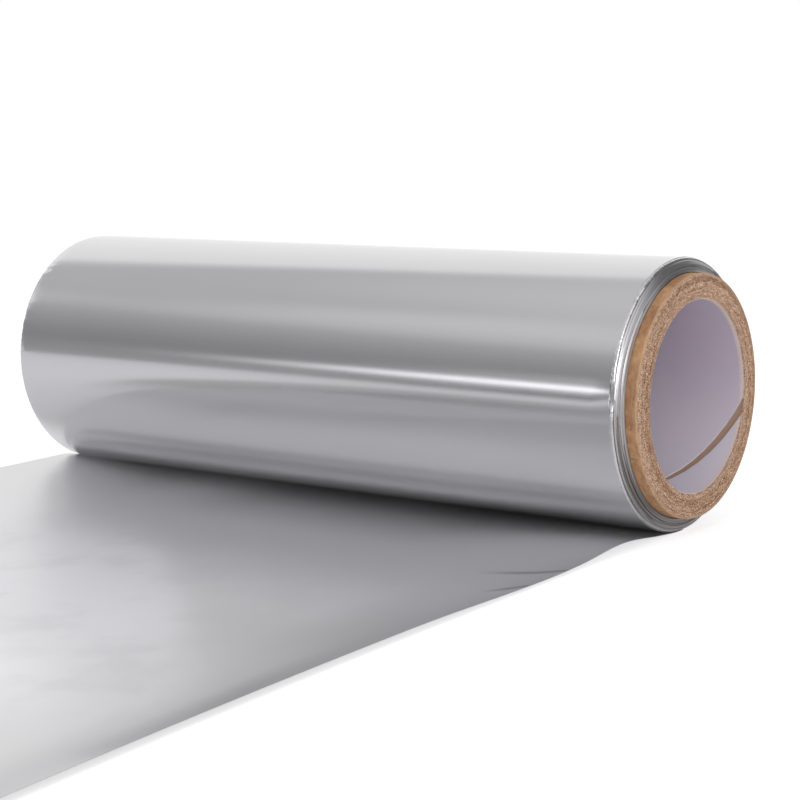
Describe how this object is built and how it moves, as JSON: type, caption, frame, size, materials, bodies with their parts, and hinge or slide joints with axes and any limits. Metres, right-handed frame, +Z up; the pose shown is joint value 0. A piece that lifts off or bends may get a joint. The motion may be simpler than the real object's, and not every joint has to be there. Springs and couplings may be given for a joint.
{
  "type": "aluminium foil roll",
  "caption": "Catering roll of aluminium foil on a brown board tube lined with white paper, lying on its side with a loose end pulled out flat.",
  "frame": {"origin": "on the axis of the tube's bore, midway along the width of the foil", "axes": "+X along the tube's axis towards the end with the longer bare tube, +Z up, and the loose foil runs towards -Y on the surface that the roll lies on"},
  "size_m": [0.33, 0.434, 0.1078],
  "materials": {
    "foil": "bright rolled foil, with fine lines along the pull",
    "board": "brown kraft board, sawn and fibrous at the ends",
    "lining": "white paper, smooth and matt"
  },
  "bodies": {
    "root": {"foil": "foil", "core_tube": "board", "core_liner": "lining"}
  },
  "joints": []
}
